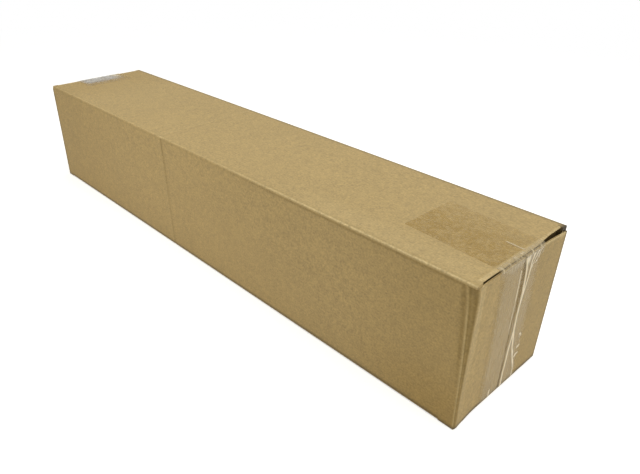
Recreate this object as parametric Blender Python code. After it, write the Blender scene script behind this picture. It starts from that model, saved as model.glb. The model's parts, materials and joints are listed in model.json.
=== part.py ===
"""Long square-section corrugated carton that opens at both ends.

One folded blank makes a sleeve of four panels, glued at a lap along its lower back edge. Each end has
two inner flaps, hinged on the top and bottom panels, under two outer flaps, hinged on the front and
back panels, that meet at an upright seam. A strip of clear tape closes each end: it starts on the top
panel, runs down over the seam and ends under the bottom panel. It is slit along the seam and along the
end edges, the way a carton is opened, so that every flap can swing.

Metres, +Z up. X runs along the carton, the front panel faces -Y, and the origin is on the ground under
the middle of the carton.
"""

import math

import bmesh
import bpy
from mathutils import Matrix, Vector

# Driving dimensions
LENGTH = 0.518  # outside, along X
WIDTH = 0.100  # outside, along Y
HEIGHT = 0.1014  # outside, along Z
BOARD = 0.0025  # thickness of the single-wall board
TAPE_WIDTH = 0.048  # a standard roll of packing tape
TAPE = 0.0002  # thickness of the tape

# Clearances
FOLD_GAP = 0.0003  # between the two mitred boards at a fold
TAPE_GAP = 0.0001  # between the tape and the board under it
LAYER_GAP = 0.0010  # between an inner flap's fold and the outer flaps over it
SEAM_GAP = 0.0028  # between the two outer flaps of an end
INNER_SEAM_GAP = 0.0014  # between the two inner flaps of an end

# Folds, flaps and lap
FOLD_RADIUS = 0.8 * BOARD
FOLD_SEGMENTS = 6
# How far below the top face each outer flap stops. The right end is folded a little askew.
OUTER_FLAP_TOP_SLOT = {
    "right": {"front": 0.0020, "back": 0.0038},
    "left": {"front": 0.0030, "back": 0.0027},
}
OUTER_FLAP_BOTTOM_SLOT = 0.0015  # and how far above the bottom face
INNER_FLAP_SLOT = 0.0055  # the inner flaps stop this far inside the front and back faces
INNER_FLAP_TILT = math.radians(12)  # the inner flaps lean into the carton by this much
LAP_WIDTH = 0.030
LAP_BOARD = 0.0020  # the lap is crushed a little where it is glued
LAP_END_GAP = 0.008  # the lap stops this far before the carton's ends
BACK_EDGE_LIFT = 0.0005  # the back panel's cut lower edge clears the ground by this much more

# How the seams and the tape lie across the carton: Y at the top face and at the bottom face
SEAM = {"right": (0.0022, 0.0030), "left": (0.0010, -0.0020)}
TAPE_MIDDLE = {"right": (-0.0038, -0.0012), "left": (0.0004, -0.0012)}
# The tape's tails: length, and Y of the middle at the far end
TOP_TAIL = {"right": (0.070, 0.0009), "left": (0.030, 0.0016)}
BOTTOM_TAIL = {"right": (0.062, 0.0030), "left": (0.045, -0.0030)}

# Worked out from the above
TAPE_STAND = TAPE_GAP + TAPE  # how far the tape's outer face stands off the board
BASE = TAPE_STAND  # the board's underside: the tape under it meets the ground
TOP = BASE + HEIGHT
HALF_LENGTH = LENGTH / 2
HALF_WIDTH = WIDTH / 2
MIDDLE = BASE + HEIGHT / 2
INNER_END = HALF_LENGTH - BOARD - LAYER_GAP  # where the top and bottom panels fold into the inner flaps
LAP_FACE = HALF_WIDTH - BOARD - FOLD_GAP  # outer face of the lap, inside the back panel
MITRE_SETBACK = FOLD_GAP * math.sin(math.radians(45))  # along the board, for half of FOLD_GAP
PIVOT_INSET = FOLD_RADIUS * (1 - math.sin(math.radians(45)))  # middle of a fold's outer arc

# A plate's own directions: X along it, Y across it, Z out of its outer face
PLUS_X, MINUS_X = Vector((1, 0, 0)), Vector((-1, 0, 0))
PLUS_Y, MINUS_Y = Vector((0, 1, 0)), Vector((0, -1, 0))
OUT = Vector((0, 0, 1))
SAME_PLACE = 1e-6

ENDS = {"right": 1, "left": -1}  # which way along X each end faces
LONG_SIDES = {"front": -1, "back": 1}  # which way along Y each side faces

KRAFT = {"base": (0.45, 0.33, 0.16), "roughness": 0.85, "alpha": 1.0}
CLEAR_FILM = {"base": (0.62, 0.58, 0.48), "roughness": 0.15, "alpha": 0.4}


def clear_scene():
    for obj in list(bpy.data.objects):
        bpy.data.objects.remove(obj, do_unlink=True)


def new_collection(name):
    collection = bpy.data.collections.new(name)
    bpy.context.scene.collection.children.link(collection)
    return collection


def new_material(name, look):
    material = bpy.data.materials.new(name)
    material.use_nodes = True
    shader = material.node_tree.nodes["Principled BSDF"]
    shader.inputs["Base Color"].default_value = (*look["base"], 1.0)
    shader.inputs["Roughness"].default_value = look["roughness"]
    shader.inputs["Metallic"].default_value = 0.0
    shader.inputs["Alpha"].default_value = look["alpha"]
    return material


def placing(location, out, along):
    """Where a plate goes: its own Z turned to out, its own X to along, its origin at location."""
    z, x = Vector(out), Vector(along)
    turn = Matrix((x, z.cross(x), z)).transposed()
    return Matrix.Translation(location) @ turn.to_4x4()


def block(low, high):
    """A box between two opposite corners."""
    low, high = Vector(low), Vector(high)
    box = Matrix.Translation((low + high) / 2) @ Matrix.Diagonal((*(high - low), 1.0))
    shape = bmesh.new()
    bmesh.ops.create_cube(shape, size=1.0, matrix=box)
    return shape


def cut_off(shape, point, normal):
    """Cuts away what lies beyond a plane, on the side that its normal points to, and closes the cut."""
    everything = shape.verts[:] + shape.edges[:] + shape.faces[:]
    cut = bmesh.ops.bisect_plane(
        shape, geom=everything, dist=SAME_PLACE, plane_co=point, plane_no=normal, clear_outer=True
    )
    rim = [item for item in cut["geom_cut"] if isinstance(item, bmesh.types.BMEdge)]
    bmesh.ops.edgeloop_fill(shape, edges=rim)


def fold_sides(shape, sides):
    """Rounds the outer edge of each given side and mitres the side, so that it meets its neighbour's."""
    face_height = max(vert.co.z for vert in shape.verts)
    reaches = [max(vert.co.dot(side) for vert in shape.verts) for side in sides]

    def on_side(vert, side, reach):
        return abs(vert.co.z - face_height) < SAME_PLACE and abs(vert.co.dot(side) - reach) < SAME_PLACE

    edges = [
        edge
        for edge in shape.edges
        if any(all(on_side(v, side, reach) for v in edge.verts) for side, reach in zip(sides, reaches))
    ]
    bmesh.ops.bevel(
        shape, geom=edges, offset=FOLD_RADIUS, segments=FOLD_SEGMENTS, profile=0.5, affect="EDGES"
    )
    for side, reach in zip(sides, reaches):
        corner = side * (reach - MITRE_SETBACK) + OUT * face_height
        cut_off(shape, corner, side - OUT)


def add_part(name, shape, place, material, collection, parent=None):
    """Makes the shape a named object, at rest at the given place."""
    mesh = bpy.data.meshes.new(name)
    bmesh.ops.recalc_face_normals(shape, faces=shape.faces[:])
    shape.to_mesh(mesh)
    shape.free()
    mesh.materials.append(material)
    part = bpy.data.objects.new(name, mesh)
    collection.objects.link(part)
    part.matrix_world = place
    if parent:
        part.parent = parent
        part.matrix_parent_inverse = parent.matrix_basis.inverted()
    return part


def add_hinge(name, location, collection):
    """An empty on a flap's hinge axis. The flap and what is stuck on it hang from it."""
    hinge = bpy.data.objects.new(name, None)
    hinge.empty_display_size = BOARD * 4
    hinge.location = location
    collection.objects.link(hinge)
    return hinge


def seam_cut(shape, place, line, keep_side, shift):
    """Cuts an upright plate along a leaning line, given as Y at the top and bottom faces. The part on
    keep_side, towards minus or plus Y, stays, and it stops short of the line by shift."""
    y_top, y_bottom = line
    point = Vector((0, y_bottom + keep_side * shift, BASE))
    lean = Vector((0, y_top - y_bottom, TOP - BASE))
    normal = lean.cross(Vector((1, 0, 0))).normalized()
    if normal.y * keep_side > 0:
        normal = -normal
    to_plate = place.inverted()
    cut_off(shape, to_plate @ point, to_plate.to_3x3() @ normal)


def build_sleeve(material, collection):
    all_sides = (MINUS_X, PLUS_X, MINUS_Y, PLUS_Y)
    half_height = HEIGHT / 2

    top = block((-INNER_END, -HALF_WIDTH, -BOARD), (INNER_END, HALF_WIDTH, 0))
    fold_sides(top, all_sides)
    add_part("top_panel", top, placing((0, 0, TOP), (0, 0, 1), (1, 0, 0)), material, collection)

    # Turned face down, the bottom panel's own Y points to the front. Its back edge folds into the lap.
    bottom = block((-INNER_END, -LAP_FACE, -BOARD), (INNER_END, HALF_WIDTH, 0))
    fold_sides(bottom, all_sides)
    add_part("bottom_panel", bottom, placing((0, 0, BASE), (0, 0, -1), (1, 0, 0)), material, collection)

    front = block((-HALF_LENGTH, -half_height, -BOARD), (HALF_LENGTH, half_height, 0))
    fold_sides(front, all_sides)
    front_place = placing((0, -HALF_WIDTH, MIDDLE), (0, -1, 0), (1, 0, 0))
    add_part("front_panel", front, front_place, material, collection)

    # The back panel's lower edge is the cut edge of the blank, outside the lap.
    back = block((-HALF_LENGTH, -half_height + BACK_EDGE_LIFT, -BOARD), (HALF_LENGTH, half_height, 0))
    fold_sides(back, (MINUS_X, PLUS_X, PLUS_Y))
    back_place = placing((0, HALF_WIDTH, MIDDLE), (0, 1, 0), (-1, 0, 0))
    add_part("back_panel", back, back_place, material, collection)

    lap_half = HALF_LENGTH - LAP_END_GAP
    lap = block((-lap_half, 0, -LAP_BOARD), (lap_half, LAP_WIDTH, 0))
    fold_sides(lap, (MINUS_Y,))
    add_part("joint_lap", lap, placing((0, LAP_FACE, BASE), (0, 1, 0), (-1, 0, 0)), material, collection)


def build_outer_flap(end, side, board, film, collection):
    """A flap hinged on the front or back panel, with its part of the slit tape."""
    facing, toward = ENDS[end], LONG_SIDES[side]
    pivot = (
        facing * (HALF_LENGTH - PIVOT_INSET),
        toward * (HALF_WIDTH - PIVOT_INSET),
        MIDDLE,
    )
    hinge = add_hinge(f"{end}_{side}_outer_hinge", pivot, collection)
    place = placing(pivot, (facing, 0, 0), (0, -toward, 0))
    # Seen from outside, two of the four outer flaps have their own Y pointing down.
    top_edge = HEIGHT / 2 - OUTER_FLAP_TOP_SLOT[end][side]
    bottom_edge = -HEIGHT / 2 + OUTER_FLAP_BOTTOM_SLOT
    low, high = (bottom_edge, top_edge) if facing * toward < 0 else (-top_edge, -bottom_edge)
    reach = HALF_WIDTH + TAPE_WIDTH / 2  # past the seam, which is cut below

    flap = block((-PIVOT_INSET, low, PIVOT_INSET - BOARD), (reach, high, PIVOT_INSET))
    fold_sides(flap, (MINUS_X,))
    seam_cut(flap, place, SEAM[end], toward, SEAM_GAP / 2)
    add_part(f"{end}_{side}_outer_flap", flap, place, board, collection, hinge)

    tape = block((0, low, PIVOT_INSET + TAPE_GAP), (reach, high, PIVOT_INSET + TAPE_STAND))
    seam_cut(tape, place, SEAM[end], toward, SEAM_GAP / 2)
    seam_cut(tape, place, TAPE_MIDDLE[end], -toward, -TAPE_WIDTH / 2)
    add_part(f"{end}_{side}_flap_tape", tape, place, film, collection, hinge)


def build_inner_flap(end, panel, material, collection):
    """A flap hinged on the top or bottom panel. It leans and folds into the carton, about its inner face."""
    facing = ENDS[end]
    upward = 1 if panel == "top" else -1
    pivot = (
        facing * (INNER_END - BOARD),
        0,
        MIDDLE + upward * (HEIGHT / 2 - BOARD),
    )
    hinge = add_hinge(f"{end}_{panel}_inner_hinge", pivot, collection)
    upright = placing(pivot, (facing, 0, 0), (0, 0, -upward))
    place = upright @ Matrix.Rotation(INNER_FLAP_TILT, 4, "Y")
    half = HALF_WIDTH - INNER_FLAP_SLOT
    reach = (HEIGHT - INNER_SEAM_GAP) / 2 - BOARD

    flap = block((-BOARD, -half, 0), (reach, half, BOARD))
    fold_sides(flap, (MINUS_X,))
    add_part(f"{end}_{panel}_inner_flap", flap, place, material, collection, hinge)


def build_tail(name, end, out, height, end_middle, tail, material, collection):
    """The tape's tail on the top or bottom panel. It drifts sideways from the end to its own end."""
    facing = ENDS[end]
    length, far_middle = tail
    end_x = facing * (HALF_LENGTH + TAPE_STAND)
    far_x = facing * (HALF_LENGTH - length)
    layers = sorted((height + out * TAPE_GAP, height + out * TAPE_STAND))
    strip = block((min(end_x, far_x), -WIDTH, layers[0]), (max(end_x, far_x), WIDTH, layers[1]))
    drift = Vector((far_x - end_x, far_middle - end_middle, 0))
    across = Vector((-drift.y, drift.x, 0)).normalized()
    for edge in (1, -1):
        cut_off(strip, Vector((end_x, end_middle, 0)) + across * edge * TAPE_WIDTH / 2, across * edge)
    add_part(name, strip, Matrix.Identity(4), material, collection)


def main():
    clear_scene()
    carton = new_collection("long_carton")
    board = new_material("kraft_board", KRAFT)
    film = new_material("clear_tape", CLEAR_FILM)

    build_sleeve(board, carton)
    for end in ENDS:
        for side in LONG_SIDES:
            build_outer_flap(end, side, board, film, carton)
        for panel in ("top", "bottom"):
            build_inner_flap(end, panel, board, carton)
        top_middle, bottom_middle = TAPE_MIDDLE[end]
        build_tail(f"{end}_top_tape", end, 1, TOP, top_middle, TOP_TAIL[end], film, carton)
        build_tail(f"{end}_bottom_tape", end, -1, BASE, bottom_middle, BOTTOM_TAIL[end], film, carton)


main()
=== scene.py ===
"""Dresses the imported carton: fluted boards, scored folds, clear packing tape and a plain studio stage.

Metres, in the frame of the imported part: X along the carton, the front panel faces -Y, Z up.
"""

import json
import math
from collections import namedtuple
from contextlib import contextmanager
from itertools import product

import bmesh
import bpy
from bpy.props import FloatProperty, FloatVectorProperty, PointerProperty
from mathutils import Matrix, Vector, noise


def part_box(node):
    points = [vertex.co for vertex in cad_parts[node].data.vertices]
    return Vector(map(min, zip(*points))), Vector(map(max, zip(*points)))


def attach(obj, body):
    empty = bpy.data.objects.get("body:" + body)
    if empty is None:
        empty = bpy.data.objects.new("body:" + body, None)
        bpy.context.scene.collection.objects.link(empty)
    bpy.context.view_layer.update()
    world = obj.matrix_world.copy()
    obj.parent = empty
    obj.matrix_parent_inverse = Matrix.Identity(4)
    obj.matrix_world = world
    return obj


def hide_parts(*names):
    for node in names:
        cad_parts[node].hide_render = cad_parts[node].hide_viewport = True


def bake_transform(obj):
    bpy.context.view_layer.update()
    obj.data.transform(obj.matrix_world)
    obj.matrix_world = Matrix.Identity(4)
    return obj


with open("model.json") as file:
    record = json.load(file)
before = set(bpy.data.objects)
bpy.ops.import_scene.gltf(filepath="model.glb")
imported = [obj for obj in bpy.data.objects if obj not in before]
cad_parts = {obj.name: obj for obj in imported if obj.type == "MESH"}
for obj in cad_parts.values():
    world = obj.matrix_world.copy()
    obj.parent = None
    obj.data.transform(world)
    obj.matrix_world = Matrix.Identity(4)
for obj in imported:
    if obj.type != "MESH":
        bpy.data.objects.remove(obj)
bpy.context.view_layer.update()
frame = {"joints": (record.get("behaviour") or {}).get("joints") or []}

bl_info = {
    "name": "Long Carton",
    "version": (1, 0, 0),
    "blender": (4, 5, 0),
    "location": "3D View > Sidebar > Carton",
    "description": "Makes the boards, folds and tape of a long corrugated carton round its packed solids",
    "category": "Object",
}

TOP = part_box("top_panel")[1].z
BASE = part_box("bottom_panel")[0].z
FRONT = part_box("front_panel")[0].y
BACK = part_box("back_panel")[1].y
BACK_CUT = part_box("back_panel")[0].z
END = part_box("right_front_outer_flap")[1].x
LAP_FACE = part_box("joint_lap")[1].y
LAP_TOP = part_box("joint_lap")[1].z
LAP_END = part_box("joint_lap")[1].x
INNER_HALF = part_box("right_top_inner_flap")[1].y
HALF_WIDTH = (BACK - FRONT) / 2
MIDDLE = (TOP + BASE) / 2
PIVOT = {joint["child"]: Vector(joint["pos_m"]) for joint in frame["joints"]}

MM = 0.001
NEAR = 1e-5
ENDS = {"right": 1, "left": -1}
SIDES = {"front": -1, "back": 1}
PANELS = {"top": 1, "bottom": -1}
FACES = {"top": TOP, "bottom": BASE}

# The outer flaps: how much higher they stand at the seam than at their folds, how much painted shade darkens
# them towards the folds, how much darker their folds are made, and how far along X the sleeve's corners reach
# beside them
OuterFlap = namedtuple("OuterFlap", "seam_rise shade fold_dirt corner_end")
OUTER = {
    ("right", "front"): OuterFlap(0.0005, 0.0, 0.0, 0.2586),
    ("right", "back"): OuterFlap(0.0023, 0.18, 0.5, 0.2577),
    ("left", "front"): OuterFlap(0.0008, 0.0, 0.5, 0.2570),
    ("left", "back"): OuterFlap(0.0008, 0.0, 0.0, 0.2568),
}
CRUSHED = ("right", "front")  # the outer flap whose fold is crushed and stands out
FLAP_DROP = 0.0012  # the outer flaps hang nearly to the floor
FOLD_RUN = 0.010  # an outer fold takes this much of the panel and of the flap

# The seams between the outer flaps, in millimetres of Y and Z
SEAM = {
    "right": (
        (0.9, 0), (0.9, 15), (0.5, 31), (0.2, 48), (0.8, 59), (1.2, 69), (0.5, 80), (-0.2, 88), (-1.8, 103),
    ),
    "left": ((-2.0, 0), (-1.2, 40), (0.2, 70), (1.0, 103)),
}
SEAM_GAP = 0.0008

# The inner flaps: how far their folds bulge past the pivots, in millimetres at the front and at the back, how
# much they are pressed thinner there, as shares of the board, and how much painted shade darkens the folds
# underneath
InnerFlap = namedtuple("InnerFlap", "bulge crush lip_dirt")
INNER = {
    ("right", "top"): InnerFlap((4.7, 3.2), (0.2, 0.2), 0.6),
    ("right", "bottom"): InnerFlap((3.4, 3.4), (0.2, 0.2), 0.0),
    ("left", "top"): InnerFlap((3.6, 3.4), (0.62, 0.2), 0.3),
    ("left", "bottom"): InnerFlap((3.4, 3.4), (0.2, 0.2), 0.0),
}
INNER_TILT = math.radians(12)
INNER_REACH = 0.0475  # from an inner flap's pivot to its free edge
INNER_FOLD_RUN = 0.005  # an inner fold takes this much of the flap

# The tape: Y of its middle where it turns over the end edges
TAPE_MIDDLE = {"right": {"top": -0.0038, "bottom": -0.0012}, "left": {"top": 0.0004, "bottom": -0.0012}}
# Its tails: length from the end, and Y of the middle at the far end
TAILS = {
    ("right", "top"): (0.070, 0.0009),
    ("left", "top"): (0.030, 0.0016),
    ("right", "bottom"): (0.062, 0.0030),
    ("left", "bottom"): (0.045, -0.0030),
}
NOT_TAPED = 9.0  # far outside the tape, in its half widths

# The carton has settled a little out of square: how far its corners have moved, in millimetres,
# by end, side and height
SET = {
    ("left", "front", "top"): (0.0, -1.1, -1.5),
    ("left", "back", "top"): (0.0, 0.5, 1.0),
    ("right", "back", "top"): (0.7, 2.6, 0.0),
    ("right", "back", "bottom"): (0.7, -0.8, 0.0),
    ("right", "front", "top"): (0.0, 0.0, -0.2),
}
BACK_EDGE_RISE = 0.5  # the back top edge stands higher in the middle, by this many millimetres

# The crease that runs round the sleeve: three points of its plane, and how far its shoulders lie from it
CREASE = (Vector((-0.0395, -0.05, 0.005)), Vector((-0.0452, -0.05, 0.1017)), Vector((-0.0485, 0.05, 0.1017)))
CREASE_NORMAL = (CREASE[1] - CREASE[0]).cross(CREASE[2] - CREASE[1]).normalized()
CREASE_SHOULDERS = (-0.0026, -0.0011, 0.0, 0.0011, 0.0026)

# The camera's place, and its turns in degrees
CAMERA_PLACE = (0.37746, -0.28600, 0.26644)
CAMERA_TURN = (61.131, -1.565, 45.510)


class CartonBoardSettings(bpy.types.PropertyGroup):
    """Sizes and colours of the corrugated board."""

    board: FloatProperty(
        name="Board", description="Thickness of the single-wall board", default=0.0025, unit="LENGTH"
    )
    liner: FloatProperty(
        name="Liner", description="Thickness of each paper liner", default=0.00035, unit="LENGTH"
    )
    medium: FloatProperty(
        name="Medium", description="Thickness of the fluted paper", default=0.00025, unit="LENGTH"
    )
    flute_pitch: FloatProperty(
        name="Flute Pitch", description="From one flute to the next", default=0.0065, unit="LENGTH"
    )
    fold_radius: FloatProperty(
        name="Fold Radius", description="Outer radius of the long folds", default=0.0013, unit="LENGTH"
    )
    crease_depth: FloatProperty(
        name="Crease Depth",
        description="Depth of the crease round the sleeve",
        default=0.00012,
        unit="LENGTH",
    )
    bow: FloatProperty(
        name="Bow", description="How far the panels swell and sink", default=0.0005, unit="LENGTH"
    )
    paper: FloatVectorProperty(
        name="Paper", description="Kraft liner", default=(0.470, 0.342, 0.146), subtype="COLOR"
    )
    # Worn serves both wear and painted highlights on crests, ridges and lips
    worn: FloatVectorProperty(
        name="Worn", description="Rubbed crests of the folds", default=(0.70, 0.555, 0.285), subtype="COLOR"
    )
    # Pressed serves both crushed paper and painted shade in creases, grooves, recesses and beside the seams
    pressed: FloatVectorProperty(
        name="Pressed", description="Crushed paper in creases", default=(0.262, 0.176, 0.050), subtype="COLOR"
    )
    # Under Tape also serves painted shade on the long sides
    wetted: FloatVectorProperty(
        name="Under Tape",
        description="Liner that adhesive has darkened",
        default=(0.372, 0.245, 0.070),
        subtype="COLOR",
    )
    fluting: FloatVectorProperty(
        name="Fluting",
        description="The paper between the liners",
        default=(0.34, 0.235, 0.105),
        subtype="COLOR",
    )


class CartonTapeSettings(bpy.types.PropertyGroup):
    """Sizes and colours of the clear packing tape."""

    width: FloatProperty(name="Width", description="Width of the roll", default=0.048, unit="LENGTH")
    film: FloatProperty(name="Film", description="Thickness of the film", default=0.00006, unit="LENGTH")
    stand: FloatProperty(
        name="Stand", description="From the board to the middle of the film", default=0.0002, unit="LENGTH"
    )
    film_colour: FloatVectorProperty(
        name="Film Colour",
        description="Clear film with its adhesive",
        default=(0.57, 0.45, 0.225),
        subtype="COLOR",
    )
    pleat_colour: FloatVectorProperty(
        name="Pleat Colour", description="Pleats", default=(0.86, 0.73, 0.47), subtype="COLOR"
    )
    lifted_colour: FloatVectorProperty(
        name="Lifted Colour",
        description="Film with air under it",
        default=(0.60, 0.60, 0.57),
        subtype="COLOR",
    )
    haze: FloatProperty(
        name="Haze", description="Cover of plain film", default=0.24, min=0.0, max=1.0, subtype="FACTOR"
    )
    glare: FloatProperty(
        name="Glare", description="Cover at a low angle", default=0.17, min=0.0, max=1.0, subtype="FACTOR"
    )
    pleat_cover: FloatProperty(
        name="Pleats", description="Cover of pleats", default=0.9, min=0.0, max=1.0, subtype="FACTOR"
    )


class CartonStageSettings(bpy.types.PropertyGroup):
    """The floor, the light and the camera."""

    floor: FloatVectorProperty(
        name="Floor", description="Pale floor", default=(0.82, 0.80, 0.76), subtype="COLOR"
    )
    floor_lift: FloatProperty(
        name="Floor Lift", description="How much whiter the floor looks to the camera", default=0.60, min=0.0
    )
    sky: FloatProperty(name="Sky", description="Even light from all round", default=0.35, min=0.0)
    sky_colour: FloatVectorProperty(
        name="Sky Colour", description="Colour of the even light", default=(1.0, 0.96, 0.87), subtype="COLOR"
    )
    key_power: FloatProperty(name="Key", description="Soft lamp overhead", default=14.0, unit="POWER")
    side_power: FloatProperty(
        name="Side", description="Soft lamp at the right end", default=2.0, unit="POWER"
    )
    fill_power: FloatProperty(
        name="Fill", description="Soft lamp at the front left", default=0.27, unit="POWER"
    )
    fill_colour: FloatVectorProperty(
        name="Fill Colour", description="Colour of the fill", default=(1.0, 0.93, 0.78), subtype="COLOR"
    )
    lens: FloatProperty(name="Lens", description="Focal length", default=32.967, unit="CAMERA")


def lerp(low, high, share):
    return low + (high - low) * share


def clamp(share):
    return min(max(share, 0.0), 1.0)


def ease(low, high, value):
    """0 up to low, 1 from high on, and smooth between them. High may be the smaller one."""
    share = clamp((value - low) / (high - low))
    return share * share * (3 - 2 * share)


def bell(offset, width):
    """1 where there is no offset, and smoothly less the more widths away it is."""
    return math.exp(-((offset / width) ** 2))


def smooth_path(points, count):
    """Points spread evenly by index along a smooth curve through the given ones."""
    points = [Vector(point) for point in points]
    padded = [points[0] * 2 - points[1], *points, points[-1] * 2 - points[-2]]
    found = []
    for index in range(count):
        place = index / (count - 1) * (len(points) - 1)
        start = min(int(place), len(points) - 2)
        t = place - start
        a, b, c, d = padded[start : start + 4]
        found.append(
            0.5 * (2 * b + (c - a) * t + (2 * a - 5 * b + 4 * c - d) * t**2 + (3 * b - a - 3 * c + d) * t**3)
        )
    return found


SEAM_PATHS = {end: [point * MM for point in smooth_path(points, 60)] for end, points in SEAM.items()}


def seam_at(end, z):
    """Y of the seam at a height."""
    path = SEAM_PATHS[end]
    for low, high in zip(path, path[1:]):
        if z <= high.y:
            break
    return lerp(low.x, high.x, (z - low.y) / (high.y - low.y))


def tape_middle(end, z):
    """Y of the tape's middle at a height on an end."""
    return lerp(TAPE_MIDDLE[end]["bottom"], TAPE_MIDDLE[end]["top"], (z - BASE) / (TOP - BASE))


def deselect_all():
    if bpy.context.mode != "OBJECT":
        bpy.ops.object.mode_set(mode="OBJECT")
    bpy.ops.object.select_all(action="DESELECT")


def name_new(name):
    """Names what an operator just added, and puts its place into its mesh."""
    piece = bpy.context.object
    piece.name = name
    piece.data.name = name
    bpy.ops.object.transform_apply(location=True, rotation=True, scale=True)
    return piece


@contextmanager
def edit_mode(piece):
    bpy.context.view_layer.objects.active = piece
    bpy.ops.object.mode_set(mode="EDIT")
    bpy.ops.mesh.select_all(action="DESELECT")
    yield
    bpy.ops.object.mode_set(mode="OBJECT")


def pick(piece, kind, wanted):
    """Selects the vertices, edges or faces that pass a test, and nothing else."""
    bpy.ops.mesh.select_mode(type=kind)
    bpy.ops.mesh.select_all(action="DESELECT")
    shape = bmesh.from_edit_mesh(piece.data)
    for item in {"VERT": shape.verts, "EDGE": shape.edges, "FACE": shape.faces}[kind]:
        if wanted(item):
            item.select_set(True)
    shape.select_flush_mode()
    bmesh.update_edit_mesh(piece.data)


def cut_line(point, normal):
    """Cuts a line of edges across the whole mesh that is being edited."""
    bpy.ops.mesh.select_all(action="SELECT")
    bpy.ops.mesh.bisect(plane_co=point, plane_no=normal)


def extrude_in_steps(run, steps):
    step = Vector(run) / steps
    for _ in range(steps):
        bpy.ops.mesh.extrude_region_move(TRANSFORM_OT_translate={"value": step})


def finish_with(piece, kind, **settings):
    """Adds a modifier with these settings and applies it."""
    bpy.context.view_layer.objects.active = piece
    modifier = piece.modifiers.new(kind.title(), kind)
    for key, value in settings.items():
        setattr(modifier, key, value)
    bpy.ops.object.modifier_apply(modifier=modifier.name)


def close_outward(piece):
    """Merges doubles and turns every face outwards."""
    with edit_mode(piece):
        bpy.ops.mesh.select_all(action="SELECT")
        bpy.ops.mesh.remove_doubles(threshold=1e-7)
        bpy.ops.mesh.normals_make_consistent(inside=False)


def shade(piece, angle=math.radians(30)):
    deselect_all()
    piece.select_set(True)
    bpy.context.view_layer.objects.active = piece
    bpy.ops.object.shade_smooth_by_angle(angle=angle)


def unit_sheet(name, columns, rows):
    """A flat sheet from 0 to 1 in X and Y, to be shaped."""
    deselect_all()
    bpy.ops.mesh.primitive_grid_add(
        x_subdivisions=columns, y_subdivisions=rows, size=1, location=(0.5, 0.5, 0)
    )
    return name_new(name)


def fluted_sheet(name, waves):
    """A sheet from 0 to 1 in X and Y, fluted across Y, half a unit up and down: one flute, repeated."""
    steps = 8
    sheet = unit_sheet(name, 4, steps)
    with edit_mode(sheet):
        for step in range(steps + 1):
            pick(sheet, "VERT", lambda vert: abs(vert.co.y - step / steps) < NEAR)
            rise = 0.5 * math.sin(2 * math.pi * step / steps)
            bpy.ops.transform.translate(value=(0, 0, rise))
    finish_with(
        sheet, "ARRAY", count=waves, relative_offset_displace=(0, 1, 0), use_merge_vertices=True
    )
    with edit_mode(sheet):
        bpy.ops.mesh.select_all(action="SELECT")
        bpy.ops.transform.resize(value=(1, 1 / waves, 1), center_override=(0, 0, 0))
    return sheet


def section_bar(name, section_size, steps):
    """A bar along Z from 0 to 1 with a round section of so many corners, to be shaped."""
    deselect_all()
    bpy.ops.mesh.primitive_circle_add(vertices=section_size, radius=1, fill_type="NGON")
    bar = name_new(name)
    with edit_mode(bar):
        bpy.ops.mesh.select_all(action="SELECT")
        extrude_in_steps((0, 0, 1), steps)
    return bar


def corner_of(vert, section_size):
    """Which corner of a bar's section a vertex belongs to. A circle starts on +Y."""
    turn = math.atan2(vert.co.x, vert.co.y) / (2 * math.pi)
    return round(turn * section_size) % section_size


def reshape(piece, place):
    """Moves every vertex to place(x, y, z)."""
    for vert in piece.data.vertices:
        vert.co = place(*vert.co)
    piece.data.update()


def paint(piece, names, rows):
    """Stores a row of numbers for each vertex, one number under each name."""
    for name, numbers in zip(names.split(), zip(*rows)):
        layer = piece.data.attributes.new(name, "FLOAT", "POINT")
        layer.data.foreach_set("value", numbers)


def join(pieces, name):
    deselect_all()
    for piece in pieces:
        piece.select_set(True)
    bpy.context.view_layer.objects.active = pieces[0]
    bpy.ops.object.join()
    return name_new(name)


class Value:
    """A socket that gives a value or a colour, with arithmetic on values."""

    def __init__(self, finish, socket):
        self.finish = finish
        self.socket = socket

    def maths(self, operation, first, second):
        return self.finish.node("ShaderNodeMath", {"operation": operation}, {0: first, 1: second})

    def __add__(self, other):
        return self.maths("ADD", self, other)

    def __radd__(self, other):
        return self.maths("ADD", other, self)

    def __sub__(self, other):
        return self.maths("SUBTRACT", self, other)

    def __rsub__(self, other):
        return self.maths("SUBTRACT", other, self)

    def __mul__(self, other):
        return self.maths("MULTIPLY", self, other)

    def __rmul__(self, other):
        return self.maths("MULTIPLY", other, self)


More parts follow.
